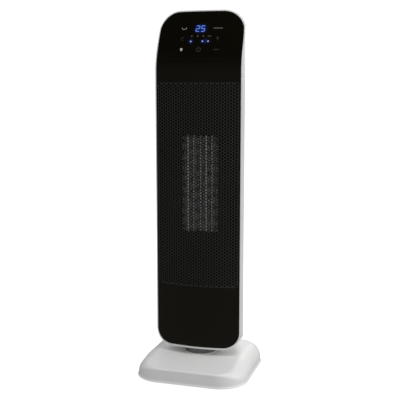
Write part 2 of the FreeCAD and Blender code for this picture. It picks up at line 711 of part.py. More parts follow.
def make_rear_shell():
    outer = tower_solid(0, "tower_low", "tower_high", "tower")
    inner = tower_solid(number("shell_wall"), "tower_low + shell_floor", "tower_high - shell_wall", "tower_space")
    ahead = front_band(None, "rim_back", "ahead")
    limit = tower_solid(1.0, "tower_low + 1", "tower_high - 1", "post_limit")
    hollow = cut(outer, inner, name="shell_hollow")
    posts = []
    bores = []
    for height, split in CASE_SCREWS:
        for side in (-1, 1):
            centre = (f"{side * SCREW_X}", f"{height}")
            posts.append(rod(centre[0], (f"{split} + 0.1", "rear_y"), centre[1], "boss_radius", "y"))
            bores.append(rod(centre[0], (f"{split} + 14", "rear_y + 5"), centre[1], "screw_head + 0.3", "y"))
            bores.append(rod(centre[0], (f"{split} - 1", f"{split} + 15"), centre[1], "screw_pass", "y"))
    for x in (-44, 44):
        for z in (68, 144):
            posts.append(rod(f"{x}", ("11.6", "rear_y"), f"{z}", "3", "y"))
            bores.append(rod(f"{x}", ("10", "19"), f"{z}", "screw_shank", "y"))
    kept = common(limit, group(*posts, name="posts"), name="post_ends")
    under = "flange_high - flange_sheet"
    rests = at_flange(lambda x, y: rod(x, y, ("tower_low + 1", under), "boss_radius"))
    bores += at_flange(lambda x, y: rod(x, y, ("tower_low + 2", f"{under} + 1"), "screw_shank"))
    shell = fuse(hollow, kept, *rests, name="shell_body")
    openings = [
        box(("-intake_half", "intake_half"), ("20", "rear_y + 5"), ("intake_low", "intake_high"), "intake_hole"),
        box(("-10.8", "10.8"), ("30", "rear_y + 5"), ("switch_z - 7.3", "switch_z + 7.3"), "switch_hole"),
        box(("-12.8", "12.8"), ("rear_y - 1.6", "rear_y + 5"), ("switch_z - 9.3", "switch_z + 9.3"), "switch_seat"),
        box(("-38.2", "38.2"), ("30", "rear_y + 5"), ("555.8", "588.2"), "handle_hole"),
        rod("0", "0", ("tower_low - 1", "tower_low + shell_floor + 1"), "spindle_radius"),
    ]
    return node("rear_shell", cut(shell, ahead, *openings, *bores, name="rear_shell"))


def front_outline(inset, low="panel_low", high="panel_high"):
    """The rounded black front as a column inside the shell's walls, cut off at two heights."""
    shape = prism(rounded_rectangle(f"panel_half - {inset}", f"panel_low + {inset}", f"panel_high - {inset}",
                                    f"panel_corner - {inset}", f"panel_top_corner - {inset}"),
                  "y", "-140", "40", "front_outline")
    walls = prism(back_plan(number("shell_wall + slack") + inset), "z", "tower_low", "tower_high", "front_walls")
    whole = common(shape, walls, name="front_column")
    if (low, high) == ("panel_low", "panel_high"):
        return whole
    return common(whole, box(("-90", "90"), ("-160", "60"), (low, high)), name="front_part")


def make_front():
    window = prism(rounded_rectangle("window_half", "window_low", "window_high", "3"), "y", "-150", "40", "window")
    band = front_band("0", "panel_depth", "skin")
    lower = common(band, front_outline(0, "panel_low - 1", "seam_z - 0.2"), name="lower_skin")
    node("front_panel", cut(lower, window, name="front_panel"))
    node("touch_panel", common(front_band("0", "panel_depth", "touch_skin"),
                               front_outline(0, "seam_z + 0.2", "panel_high + 1"), name="touch_panel"))
    # the carrier behind the panels, with its air window and the hole for the display
    carrier = common(front_band("panel_depth", "frame_depth", "carrier_skin"), front_outline(0.3), name="carrier")
    air = prism(rounded_rectangle("window_half - 4", "window_low + 4", "window_high - 4", "3"),
                "y", "-150", "40", "air_window")
    display = box(("-46", "46"), ("-150", "40"), ("548", "606"), "display_window")
    posts = []
    pilots = []
    for height, split in CASE_SCREWS:
        for side in (-1, 1):
            posts.append(rod(f"{side * SCREW_X}", (f"{split} - 22", f"{split}"), f"{height}", "boss_radius", "y"))
            pilots.append(rod(f"{side * SCREW_X}", (f"{split} - 9", f"{split} + 1"), f"{height}", "screw_shank", "y"))
    behind = front_band("panel_depth", "frame_depth + 40", "post_space")
    stubs = common(behind, group(*posts, name="frame_posts"), name="frame_stubs")
    rests = []
    for x in (-66, 66):
        for z in (159, 496.5):
            rests.append(rod(f"{x}", ("-19", "baffle_front"), f"{z}", "3", "y"))
            pilots.append(rod(f"{x}", ("-16", "baffle_front + 1"), f"{z}", "1", "y"))
    rest_stubs = common(front_band("panel_depth", "frame_depth + 40", "rest_space"), group(*rests), name="rest_stubs")
    frame = fuse(cut(carrier, air, display, name="carrier_open"), stubs, rest_stubs, name="frame_body")
    node("front_frame", cut_apart(frame, pilots, name="front_frame"))


def make_grille():
    sheet_band = front_band("grille_front", "grille_back", "mesh_skin")
    outline = prism(rounded_rectangle("window_half - 0.15", "window_low + 0.15", "window_high - 0.15", "3"),
                    "y", "-150", "40", "mesh_outline")
    slots = []
    for column in range(-7, 8):
        shift = 0.0 if column % 2 == 0 else 0.5
        for row in range(16):
            centre = f"window_low + 12 + ({row} + {shift}) * slot_row"
            if number(centre) + number("slot_height") / 2 > number("window_high") - 2:
                continue
            slots.append(box((f"{column} * slot_column - slot_width / 2", f"{column} * slot_column + slot_width / 2"),
                             ("-60", "0"), (f"{centre} - slot_height / 2", f"{centre} + slot_height / 2")))
    node("outlet_grille", cut_apart(common(sheet_band, outline, name="mesh_sheet"), slots, name="outlet_grille"))


# ---------------------------------------------------------------------------------------- heater block


def make_heater():
    window = (("-heater_half", "heater_half"), ("-50", "50"), ("heater_low", "heater_high"))
    plate = box(("-70", "70"), ("baffle_front", "baffle_back"), ("154", "501"), "baffle_plate")
    holes = [rod(f"{x}", ("-20", "0"), f"{z}", "1.3", "y") for x in (-66, 66) for z in (159, 496.5)]
    node("air_baffle", cut(plate, box(*window), *holes, name="air_baffle"))
    screws = [fuse(rod(f"{x}", ("-16", "baffle_back + 0.1"), f"{z}", "1", "y"),
                   rod(f"{x}", ("baffle_back", "baffle_back + 1.4"), f"{z}", "2.2", "y"))
              for x in (-66, 66) for z in (159, 496.5)]
    node("baffle_screws", group(*screws, name="baffle_screws"))
    case = box(("-41", "41"), ("baffle_back", "heater_back"), ("heater_low - 10", "heater_high + 10"), "heater_case")
    tabs = [box((f"{x} - 0.4", f"{x} + 0.4"), ("-2", "4"), ("heater_high - 1", "heater_high + 16"))
            for x in (-21.667, 0, 21.667)]
    node("heater_frame", cut(case, box(*window), *tabs, name="heater_frame"))
    tab_copies = [box((f"{x} - 0.4", f"{x} + 0.4"), ("-2", "4"), ("heater_high", "heater_high + 16"))
                  for x in (-21.667, 0, 21.667)]
    node("heater_terminals", group(*tab_copies, name="heater_terminals"))
    pitch = number("heater_half") / 3
    wide = number("strip_width") / 2
    strips = [box((f"{index} * heater_half / 3 - strip_width / 2", f"{index} * heater_half / 3 + strip_width / 2"),
                  ("baffle_back + 1.5", "heater_back - 1.5"), ("heater_low", "heater_high"))
              for index in range(-2, 3)]
    node("ceramic_strips", group(*strips, name="ceramic_strips"))
    columns = []
    edges = [-number("heater_half")] + [index * pitch for index in range(-2, 3)] + [number("heater_half")]
    for index, (left, right) in enumerate(zip(edges, edges[1:])):
        left += wide if index else 0
        right -= wide if index < 5 else 0
        columns.append(fin_column(left + 0.05, right - 0.05))
    node("heater_fins", solid_from(Part.makeCompound(columns), "heater_fins"))


def fin_column(left, right):
    """A corrugated foil that zigzags up between two walls."""
    low, high, period, foil = (number(name) for name in ("heater_low", "heater_high", "fin_period", "foil"))
    count = int((high - low - 1.5) / (period / 2))
    start = low + 0.6
    crest = foil / math.sin(math.atan(period / 2 / (right - left)))
    near = [Vector(left if step % 2 == 0 else right - crest, 0, start + step * period / 2)
            for step in range(count + 1)]
    far = [point + Vector(crest, 0, 0) for point in near]
    outline = Part.makePolygon(near + far[::-1] + near[:1])
    sheet_ = Part.Face(outline).extrude(Vector(0, number("heater_back - baffle_back") - 4, 0))
    sheet_.translate(Vector(0, number("baffle_back") + 2, 0))
    return sheet_


def make_safety_parts():
    cutout = fuse(rod("10.8", "0.5", ("heater_high + 10", "heater_high + 17"), "7.5"),
                  box(("10.8 - 10", "10.8 + 10"), ("-3.5", "4.5"), ("heater_high + 10", "heater_high + 11.2")))
    cutout.Refine = True
    node("thermal_cutout", cut(cutout, rod("0", "1", ("heater_high", "heater_high + 30"), "1.0"),
                               name="thermal_cutout"))
    fuse_body = fuse(rod(("-19.4", "-7"), "1", "heater_high + 12.2", "2.0", "x"),
                     rod(("-20.4", "-4"), "1", "heater_high + 12.2", "0.5", "x"))
    node("thermal_fuse", fuse_body)


# -------------------------------------------------------------------------------------------- fan unit


def make_fan_housing():
    low, high = "heater_low - 8", "heater_high + 8"
    ends = []
    for start in (low, f"{high} - 2"):
        ends.append(rod("0", "fan_y", (start, f"{start} + 2"), "fan_y - heater_back"))
        ends.append(box(("-38", "38"), ("heater_back", "fan_y"), (start, f"{start} + 2")))
    y = number("fan_y")
    inner, outer = 21.0, 22.4
    sweep = lambda radius, angle: Vector(radius * math.cos(math.radians(angle)),
                                         y + radius * math.sin(math.radians(angle)), 0)
    scroll = Part.Face(Part.Wire([
        Part.Arc(sweep(inner, 100), sweep(inner, 150), sweep(inner, 200)).toShape(),
        Part.makeLine(sweep(inner, 200), sweep(outer, 200)),
        Part.Arc(sweep(outer, 200), sweep(outer, 150), sweep(outer, 100)).toShape(),
        Part.makeLine(sweep(outer, 100), sweep(inner, 100)),
    ]))
    depth = number("heater_back")
    start = sweep(outer, 200)
    side = Part.Face(Part.makePolygon([
        sweep(inner, 198), Vector(-36.4, depth, 0), Vector(-38, depth, 0), Vector(-38, depth + 2, 0),
        start + Vector(0, 2, 0), sweep(inner, 198)]))
    tongue = Part.Face(Part.makePolygon([
        Vector(36.4, depth, 0), Vector(38, depth, 0), Vector(38, depth + 4, 0), Vector(26, y + 2, 0),
        Vector(22, y + 1, 0), Vector(24.4, y - 3, 0), Vector(36.4, depth, 0)]))
    walls = []
    bottom, top = number(low), number(high)
    for face in (scroll, side, tongue):
        wall_ = face.extrude(Vector(0, 0, top - bottom))
        wall_.translate(Vector(0, 0, bottom))
        walls.append(wall_)
    shaped = walls[0].fuse(walls[1:]).removeSplitter()
    body = fuse(*ends, solid_from(shaped, "scroll_walls"), name="housing_body")
    passes = [rod("0", "fan_y", (low, f"{low} + 3"), "fan_shaft + 2", name="lower_pass"),
              rod("0", "fan_y", (f"{high} - 3", f"{high} + 1"), "7", name="bearing_seat")]
    node("fan_housing", cut_apart(cut(body, passes[0]), passes[1:], name="fan_housing"))
    node("upper_bearing", tube("0", "fan_y", (f"{high} - 2", f"{high} + 5"), "7", "fan_shaft + running_gap",
                               name="upper_bearing"))


def make_fan():
    y, low, high = number("fan_y"), number("fan_low"), number("fan_high")
    radius, count = number("fan_radius"), int(number("fan_blades"))
    discs = [Part.makeCylinder(radius, 1.4, Vector(0, 0, low + share * (high - low - 1.4)))
             for share in (0, 1 / 3, 2 / 3, 1)]
    disc_set = discs[0]
    blades = []
    for index in range(count):
        turn = 2 * math.pi * index / count
        spot = lambda span, twist, side: Vector((span + side) * math.cos(turn + twist),
                                                (span + side) * math.sin(turn + twist), 0)
        lip, root_ = radius - 0.3, radius - 5.0
        face = Part.Face(Part.makePolygon([
            spot(lip, 0.10, 0), spot(lip - 2.2, 0.005, 0), spot(root_, -0.02, 0), spot(root_, 0.03, 0),
            spot(lip - 2.2, 0.055, 0), spot(lip, 0.135, 0), spot(lip, 0.10, 0)]))
        blade = face.extrude(Vector(0, 0, high - low - 0.4))
        blade.translate(Vector(0, 0, low + 0.2))
        blades.append(blade)
    wheel = disc_set.fuse(discs[1:] + blades)
    wheel = wheel.cut(Part.makeCylinder(number("fan_shaft"), high - low + 2, Vector(0, 0, low - 1)))
    wheel.translate(Vector(0, y, 0))
    node("fan_impeller", solid_from(wheel, "fan_impeller"))
    node("fan_shaft_rod", rod("0", "fan_y", ("200", "heater_high + 12"), "fan_shaft", name="fan_shaft_rod"))


def make_fan_motor():
    radius = "fan_motor_radius"
    can = rod("0", "fan_y", ("186", "226"), radius)
    neck = rod("0", "fan_y", ("225", "233"), "8")
    well = rod("0", "fan_y", ("197", "234"), "fan_shaft + running_gap")
    tail = rod("0", "fan_y", ("182", "187"), "8")
    node("fan_motor", cut(fuse(can, neck, tail, name="fan_motor_body"), well, name="fan_motor"))
    bridge = fuse(
        box(("-38", "38"), ("11", "46"), ("226", "228"), "bridge_plate"),
        box(("-38", "-36"), ("11", "30"), ("226", "heater_low - 8"), "bridge_leg"),
        box(("36", "38"), ("11", "30"), ("226", "heater_low - 8"), "bridge_leg"), name="bridge")
    node("motor_bridge", cut(bridge, rod("0", "fan_y", ("220", "240"), "8"), name="motor_bridge"))


# ------------------------------------------------------------------------------------------ electronics


def make_power_board():
    board = box(("-50", "50"), ("10", "11.6"), ("60", "152"), "board")
    holes = [rod(f"{x}", ("9", "13"), f"{z}", "screw_pass", "y") for x in (-44, 44) for z in (68, 144)]
    node("power_board", cut_apart(board, holes, name="power_board"))
    screws = [fuse(rod(f"{x}", ("8.4", "10"), f"{z}", "screw_head", "y"),
                   rod(f"{x}", ("9.9", "19"), f"{z}", "screw_shank", "y")) for x in (-44, 44) for z in (68, 144)]
    node("board_screws", group(*screws, name="board_screws"))
    relays = [box((f"{x} - 7.5", f"{x} + 7.5"), ("-6", "10"), ("112", "131")) for x in (-26, -6, 14)]
    node("relays", group(*relays, name="relays"))
    caps = [rod(f"{x}", ("-12", "10"), f"{z}", radius, "y") for x, z, radius in
            ((-33, 92, "6.5"), (-17, 92, "6.5"), (-33, 76, "4"), (-22, 76, "4"))]
    node("capacitors", group(*caps, name="capacitors"))
    core = box(("6", "34"), ("-12", "10"), ("70", "98"), "core")
    node("transformer", core)
    sink = box(("28", "46"), ("7", "10"), ("104", "136"), "sink_back")
    fins = [box((f"{x}", f"{x + 1.4}"), ("-8", "8"), ("104", "136")) for x in (28, 32.15, 36.3, 40.45, 44.6)]
    node("heat_sink", fuse(sink, *fins, name="heat_sink"))


def leaned(shape, height, behind):
    """Puts a shape drawn about the origin on the slope of the touch panel."""
    shape.Placement = Placement(Vector(0, lean_depth(height, behind), height),
                                Rotation(Vector(1, 0, 0), -number("lean_angle")))
    return shape


def make_display_board():
    height, behind = 576.0, 15.0
    board = Part.makeBox(88, 1.6, 66, Vector(-44, 0, -34))
    node("display_board", leaned(solid_from(board, "display_board"), height, behind))
    module = Part.makeBox(25, 7.0, 19, Vector(-12.5, -7.0, 11))
    slots = [Part.makeBox(9.5, 1.0, 14, Vector(x, -7.0, 13.5)) for x in (-10.7, 1.2)]
    module = module.cut(Part.makeCompound(slots))
    digits = [seven_segment(x, code) for x, code in ((-10.7, "abdeg"), (1.2, "acdfg"))]
    node("digit_module", leaned(solid_from(module, "digit_module"), height, behind))
    node("digit_segments", leaned(solid_from(Part.makeCompound(sum(digits, [])), "digit_segments"), height, behind))
    pads = []
    for x, z in ((-30, 12), (30, 12), (-30, -16), (0, -16), (30, -16)):
        spring = coil(3.2, 0.35, 0, 6.0, 4)
        spring.rotate(Vector(), Vector(1, 0, 0), 90)
        spring.translate(Vector(x, 0, z))
        pads.append(spring)
    node("touch_springs", leaned(solid_from(Part.makeCompound(pads), "touch_springs"), height, behind))
    chip = Part.makeBox(14, 1.8, 14, Vector(-30, 1.6, -10))
    beeper = Part.makeCylinder(6, 7, Vector(24, 1.6, -4), Vector(0, 1, 0))
    node("control_chip", leaned(solid_from(chip, "control_chip"), height, behind))
    node("beeper", leaned(solid_from(beeper, "beeper"), height, behind))
    eye = Part.makeBox(6, 5, 7, Vector(-22, -5, 17))
    node("remote_eye", leaned(solid_from(eye, "remote_eye"), height, behind))


def seven_segment(left, lit):
    """The lit bars of one digit, in the front face of the module."""
    width, tall, bar = 9.5, 14.0, 1.7
    low = 13.5
    middle = low + tall / 2
    bars = {
        "a": (left + bar, low + tall - bar, width - 2 * bar, bar),
        "g": (left + bar, middle - bar / 2, width - 2 * bar, bar),
        "d": (left + bar, low, width - 2 * bar, bar),
        "f": (left, middle, bar - 0.1, tall / 2 - 0.3),
        "b": (left + width - bar + 0.1, middle, bar - 0.1, tall / 2 - 0.3),
        "e": (left, low + 0.3, bar - 0.1, tall / 2 - 0.3),
        "c": (left + width - bar + 0.1, low + 0.3, bar - 0.1, tall / 2 - 0.3),
    }
    return [Part.makeBox(bars[key][2], 0.6, bars[key][3], Vector(bars[key][0], -6.6, bars[key][1]))
            for key in lit]


# ------------------------------------------------------------------------------------------- rear parts


def make_intake():
    """The pull-off filter cover over the air intake, and the filter behind it."""
    gap = "slack"
    across = (f"-intake_half + {gap}", f"intake_half - {gap}")
    skin = cut(prism(back_plan(0), "z", f"intake_low + {gap}", f"intake_high - {gap}", "intake_outside"),
               prism(back_plan(number("intake_sheet")), "z", "intake_low - 5", "intake_high + 5", "intake_inside"),
               name="intake_skin")
    plate = common(skin, box(across, ("20", "rear_y + 5"), (f"intake_low + {gap}", f"intake_high - {gap}")),
                   name="intake_plate")
    slots = []
    for row in range(25):
        low = f"intake_low + 12 + {row} * 12"
        for x in (-42, -20.5, 1, 22.5):
            slots.append(box((f"{x}", f"{x} + 19.5"), ("20", "rear_y + 5"), (low, f"{low} + 7")))
    node("intake_cover", cut_apart(plate, slots, name="intake_cover"))
    sheet_depth = number("intake_sheet")
    felt = cut(prism(back_plan(sheet_depth), "z", "intake_low + 4", "intake_high - 4", "felt_outside"),
               prism(back_plan(sheet_depth + 1.0), "z", "intake_low", "intake_high", "felt_inside"), name="felt")
    node("dust_filter", common(felt, box(("-46", "46"), ("20", "rear_y + 5"), ("intake_low + 4", "intake_high - 4")),
                               name="dust_filter"))


def make_handle():
    cup = box(("-38", "38"), ("34", "rear_y + 1"), ("556", "588"), "cup_block")
    limit = prism(back_plan(0), "z", "550", "600", "handle_skin")
    hollow = box(("-36", "36"), ("36", "rear_y + 5"), ("558", "586"), "cup_space")
    node("handle_cup", cut(common(cup, limit, name="cup_block_cut"), hollow, name="handle_cup"))


def make_power_switch():
    face = "rear_y + 0.8"
    body = box(("-10.5", "10.5"), ("rocker_y - 12", "rear_y"), ("switch_z - 7", "switch_z + 7"), "switch_case")
    flange = box(("-12.5", "12.5"), ("rear_y - 1.6", face), ("switch_z - 9", "switch_z + 9"), "switch_flange")
    tabs = [box((f"{x} - 0.4", f"{x} + 0.4"), ("rocker_y - 20", "rocker_y - 11"), ("switch_z - 3", "switch_z + 3"))
            for x in (-6, 6)]
    space = box(("-8.3", "8.3"), ("rocker_y - 6.8", "rear_y + 5"), ("switch_z - 6.1", "switch_z + 6.1"), "switch_space")
    pin_hole = rod(("-9.8", "9.8"), "rocker_y", "switch_z", "1 + running_gap", "x")
    node("switch_body", cut(fuse(body, flange, *tabs, name="switch_solid"), space, pin_hole, name="switch_body"))
    shape = [(4.4, -5.1), (2.6, 0), (4.4, 5.1), (-1, 4.4), (-5.2, 1.5), (-5.2, -1.5), (-1, -4.4)]
    profile = prism(polygon([
        (f"rocker_y + {depth} * cos(rocker_tilt) - {up} * sin(rocker_tilt)",
         f"switch_z + {depth} * sin(rocker_tilt) + {up} * cos(rocker_tilt)") for depth, up in shape]),
        "x", "-8", "8", "rocker_body")
    pins = rod(("-9.5", "9.5"), "rocker_y", "switch_z", "1", "x", "rocker_pin")
    node("power_rocker", fuse(profile, pins, name="power_rocker"))


def make_case_screws():
    screws = []
    for height, split in CASE_SCREWS:
        for side in (-1, 1):
            x = f"{side * SCREW_X}"
            screws.append(fuse(rod(x, (f"{split} - 9", f"{split} + 14.1"), f"{height}", "screw_shank", "y"),
                               rod(x, (f"{split} + 14", f"{split} + 16"), f"{height}", "screw_head", "y")))
    node("case_screws", group(*screws, name="case_screws"))


# -------------------------------------------------------------------------------------- build and write

make_base_cover()
make_base_plate()
make_base_fittings()
make_swing_motor()
make_terminal_block()
make_gears()
make_tip_over()
make_swivel()
make_rear_shell()
make_front()
make_grille()
make_heater()
make_safety_parts()
make_fan_housing()
make_fan()
make_fan_motor()
make_power_board()
make_display_board()
make_intake()
make_handle()
make_power_switch()
make_case_screws()
doc.recompute()

for item in doc.Objects:
    if "Invalid" in item.State or "Error" in item.State:
        raise RuntimeError(f"{item.Name} ({item.Label}) did not build: {item.State}")

os.makedirs(PARTS_FOLDER, exist_ok=True)
for piece in NODES:
    if piece.Shape.isNull() or not piece.Shape.isValid() or not piece.Shape.Solids:
        raise RuntimeError(f"{piece.Label} has no valid solid")
    piece.Shape.exportStep(os.path.join(PARTS_FOLDER, piece.Label + ".step"))
    print(piece.Label, len(piece.Shape.Solids), round(piece.Shape.Volume, 1))
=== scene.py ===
import json
import math

import bmesh
import bpy
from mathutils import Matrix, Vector


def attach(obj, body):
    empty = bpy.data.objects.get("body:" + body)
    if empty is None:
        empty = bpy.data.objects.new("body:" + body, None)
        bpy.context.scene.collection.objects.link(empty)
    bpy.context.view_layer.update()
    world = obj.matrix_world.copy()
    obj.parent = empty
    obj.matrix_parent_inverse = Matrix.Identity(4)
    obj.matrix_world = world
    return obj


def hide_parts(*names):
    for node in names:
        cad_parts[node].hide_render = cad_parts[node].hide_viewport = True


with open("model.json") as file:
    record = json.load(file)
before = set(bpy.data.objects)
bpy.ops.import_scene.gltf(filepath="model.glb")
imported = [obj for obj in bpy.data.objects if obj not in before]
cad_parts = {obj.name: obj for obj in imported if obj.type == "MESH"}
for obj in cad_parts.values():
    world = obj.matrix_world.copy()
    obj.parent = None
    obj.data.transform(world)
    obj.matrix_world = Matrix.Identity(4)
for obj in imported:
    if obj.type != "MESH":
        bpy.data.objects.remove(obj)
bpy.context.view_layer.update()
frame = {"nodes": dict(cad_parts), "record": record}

# lengths are in mm up to piece(), which turns them into metres; the stage, the lights, the camera
# and the places in the materials are in metres
NODES = frame["nodes"]
SUBPARTS = frame["record"]["subparts"]
MM = 0.001


# --------------------------------------------------------------------------- materials


class Graph:
    """Small wrapper that adds and links the nodes of one material."""

    def __init__(self, name):
        self.material = bpy.data.materials.new(name)
        self.material.use_nodes = True
        self.tree = self.material.node_tree
        self.shader = self.tree.nodes["Principled BSDF"]
        self.place = self.add("ShaderNodeTexCoord").outputs["Object"]

    def add(self, kind, **values):
        made = self.tree.nodes.new(kind)
        for name, value in values.items():
            setattr(made, name, value)
        return made

    def link(self, source, target):
        self.tree.links.new(source, target)

    def noise(self, scale, detail=3.0, roughness=0.5, stretch=None):
        made = self.add("ShaderNodeTexNoise")
        made.inputs["Scale"].default_value = scale
        made.inputs["Detail"].default_value = detail
        made.inputs["Roughness"].default_value = roughness
        source = self.place
        if stretch:
            mapping = self.add("ShaderNodeMapping")
            mapping.inputs["Scale"].default_value = stretch
            self.link(source, mapping.inputs["Vector"])
            source = mapping.outputs["Vector"]
        self.link(source, made.inputs["Vector"])
        return made.outputs["Fac"]

    def ramp(self, value, low, high, start, end):
        """Maps a value between two levels onto a new range."""
        made = self.add("ShaderNodeMapRange")
        made.inputs["From Min"].default_value = low
        made.inputs["From Max"].default_value = high
        made.inputs["To Min"].default_value = start
        made.inputs["To Max"].default_value = end
        self.link(value, made.inputs["Value"])
        return made.outputs["Result"]

    def tint(self, value, dark, light):
        """Blends two colours by a value from 0 to 1."""
        made = self.add("ShaderNodeMix", data_type="RGBA")
        made.inputs["A"].default_value = (*dark, 1)
        made.inputs["B"].default_value = (*light, 1)
        self.link(value, made.inputs["Factor"])
        return made.outputs["Result"]

    def bump(self, height, distance, strength):
        made = self.add("ShaderNodeBump")
        made.inputs["Strength"].default_value = strength
        made.inputs["Distance"].default_value = distance
        self.link(height, made.inputs["Height"])
        return made.outputs["Normal"]

    def set(self, **values):
        for name, value in values.items():
            self.shader.inputs[name.replace("_", " ")].default_value = value

    def feed(self, name, source):
        self.link(source, self.shader.inputs[name])


def shade(colour, factor):
    """A lighter or darker version of a colour."""
    return tuple(min(1.0, channel * factor) for channel in colour)


def moulded(name, colour, rough, grain=900.0, depth=0.00002, spread=0.06, patchy=7.0, **extra):
    """Injection-moulded plastic: faint uneven tone and gloss over a fine grain."""
    graph = Graph(name)
    broad = graph.noise(patchy, 3.0, 0.55)
    fine = graph.noise(grain, 2.0, 0.6)
    tone = graph.ramp(broad, 0.3, 0.7, 0.0, 1.0)
    graph.feed("Base Color", graph.tint(tone, shade(colour, 1 - spread), shade(colour, 1 + spread)))
    graph.feed("Roughness", graph.ramp(broad, 0.3, 0.7, rough * 0.9, min(1.0, rough * 1.12)))
    graph.feed("Normal", graph.bump(fine, depth, 0.6))
    graph.set(**extra)
    return graph.material


def metal(name, colour, rough, stretch=(1, 1, 12), grain=300.0, depth=0.00001, share=1.0):
    """Bare or plated metal with fine drawn lines and uneven gloss."""
    graph = Graph(name)
    lines = graph.noise(grain, 2.0, 0.6, stretch)
    broad = graph.noise(40.0, 3.0, 0.6)
    graph.feed("Base Color", graph.tint(lines, shade(colour, 0.82), shade(colour, 1.1)))
    graph.feed("Roughness", graph.ramp(broad, 0.3, 0.7, rough * 0.75, rough * 1.3))
    graph.feed("Normal", graph.bump(lines, depth, 0.5))
    graph.set(Metallic=share)
    return graph.material


def lit(name, colour, power):
    """A mark lit from behind, a little uneven."""
    graph = Graph(name)
    patch = graph.ramp(graph.noise(300.0), 0.3, 0.7, 0.0, 1.0)
    tone = graph.tint(patch, shade(colour, 0.85), colour)
    graph.feed("Base Color", graph.tint(patch, shade(colour, 0.05), shade(colour, 0.06)))
    graph.feed("Emission Color", tone)
    graph.set(Roughness=0.4, Emission_Strength=power)
    return graph.material


# faint glows on the touch panel: place across, height, half width, half height, strength
GLOWS = (
    (0.0023, 0.5905, 0.013, 0.0095, 1.0),    # round both digits
    (-0.0126, 0.5693, 0.006, 0.005, 0.8),    # round the lamp on its own
    (0.0126, 0.5693, 0.011, 0.005, 0.8),     # round the pair of lamps
)
ANY_DEPTH = 1000.0


def touch_gloss():
    """Polished black with a faint blue glow round the lit digits and lamps."""
    graph = Graph("touch_gloss")
    broad = graph.noise(60.0, 3.0, 0.55)
    graph.feed("Base Color", graph.tint(broad, (0.004, 0.0034, 0.0018), (0.005, 0.0042, 0.0022)))
    graph.feed("Roughness", graph.ramp(broad, 0.3, 0.7, 0.07, 0.10))
    glow = None
    for x, z, wide, tall, power in GLOWS:
        place = graph.add("ShaderNodeMapping", vector_type="TEXTURE")
        place.inputs["Location"].default_value = (x, 0, z)
        place.inputs["Scale"].default_value = (wide, ANY_DEPTH, tall)
        graph.link(graph.place, place.inputs["Vector"])
        away = graph.add("ShaderNodeVectorMath", operation="LENGTH")
        graph.link(place.outputs["Vector"], away.inputs[0])
        spot = graph.ramp(away.outputs["Value"], 1.0, 0.35, 0.0, power)
        if glow is None:
            glow = spot
        else:
            both = graph.add("ShaderNodeMath", operation="ADD")
            graph.link(glow, both.inputs[0])
            graph.link(spot, both.inputs[1])
            glow = both.outputs["Value"]
    graph.feed("Emission Color", graph.tint(glow, (0, 0, 0), (0.004, 0.010, 0.075)))
    graph.set(Emission_Strength=1.0, Specular_Tint=(1, 0.85, 0.45, 1))
    return graph.material


MATERIALS = {
    "white_shell": moulded("white_shell", (0.84, 0.84, 0.835), 0.36, 1400.0, 0.000012, 0.015),
    "grey_inner": moulded("grey_inner", (0.5, 0.5, 0.49), 0.5, 900.0, 0.00002, 0.04),
    "black_gloss": moulded("black_gloss", (0.0045, 0.0038, 0.002), 0.09, 60.0, 0.000002, 0.1,
                           Specular_Tint=(1, 0.96, 0.82, 1)),
    "black_matte": moulded("black_matte", (0.005, 0.005, 0.0048), 0.6, 1200.0, 0.00003, 0.15,
                           Specular_IOR_Level=0.2),
    # painted shade: the neck collar's grey stands in for the shadow that falls under the tower
    "collar_painted_shade": moulded("collar_painted_shade", (0.11, 0.11, 0.11), 0.5, 900.0, 0.00002, 0.04),
    "mesh": moulded("mesh", (0.025, 0.0245, 0.021), 0.45, 2500.0, 0.00002, 0.1),
    "rubber": moulded("rubber", (0.03, 0.03, 0.03), 0.8, 800.0, 0.00004, 0.2),
    "screw_steel": metal("screw_steel", (0.6, 0.6, 0.58), 0.3),
    "motor_can": metal("motor_can", (0.58, 0.58, 0.56), 0.35),
    "acetal": moulded("acetal", (0.78, 0.76, 0.68), 0.35, 700.0, 0.00002, 0.03),
    "switch_blue": moulded("switch_blue", (0.03, 0.06, 0.2), 0.4),
    "fin_aluminium": metal("fin_aluminium", (0.86, 0.86, 0.85), 0.45, share=0.35),
    "strip_metal": metal("strip_metal", (0.93, 0.93, 0.92), 0.4, share=0.25),
    "contact_brass": metal("contact_brass", (0.78, 0.6, 0.28), 0.3),
    "cutout_black": moulded("cutout_black", (0.05, 0.04, 0.035), 0.45),
    "fuse_metal": metal("fuse_metal", (0.68, 0.68, 0.66), 0.3),
    "fan_grey": moulded("fan_grey", (0.06, 0.06, 0.06), 0.5),
    "board_green": moulded("board_green", (0.01, 0.12, 0.05), 0.35, 500.0, 0.00003, 0.2, 90.0),
    "relay_blue": moulded("relay_blue", (0.03, 0.1, 0.28), 0.3),
    "capacitor": moulded("capacitor", (0.03, 0.03, 0.05), 0.3),
    "transformer": moulded("transformer", (0.7, 0.55, 0.1), 0.45),
    "sink_aluminium": metal("sink_aluminium", (0.7, 0.7, 0.7), 0.35),
    "display_black": moulded("display_black", (0.01, 0.01, 0.012), 0.2),
    "digit_light": lit("digit_light", (0.13, 0.27, 1.0), 0.95),
    "lamp_light": lit("lamp_light", (0.5, 0.6, 1.0), 0.62),
    "touch_gloss": touch_gloss(),
    "panel_print": lit("panel_print", (0.85, 0.86, 0.84), 0.42),
    "panel_print_dim": lit("panel_print_dim", (0.5, 0.5, 0.46), 0.14),
    "panel_print_faint": lit("panel_print_faint", (0.4, 0.4, 0.36), 0.05),
    "chip_black": moulded("chip_black", (0.015, 0.015, 0.015), 0.5),
    "filter_felt": moulded("filter_felt", (0.05, 0.05, 0.05), 0.9, 700.0, 0.0003, 0.3),
}

# finishes that belong to the slot of the lit digits in the record
SLOT_OF = dict.fromkeys(("lamp_light", "panel_print", "panel_print_dim", "panel_print_faint"), "digit_light")
# nodes whose look differs a little from the rest of their slot: the touch panel has a painted glow round its
# lit marks, and the neck collar is painted a grey that stands in for the shade under the tower
OWN_LOOK = {"touch_panel": "touch_gloss", "neck_collar": "collar_painted_shade"}


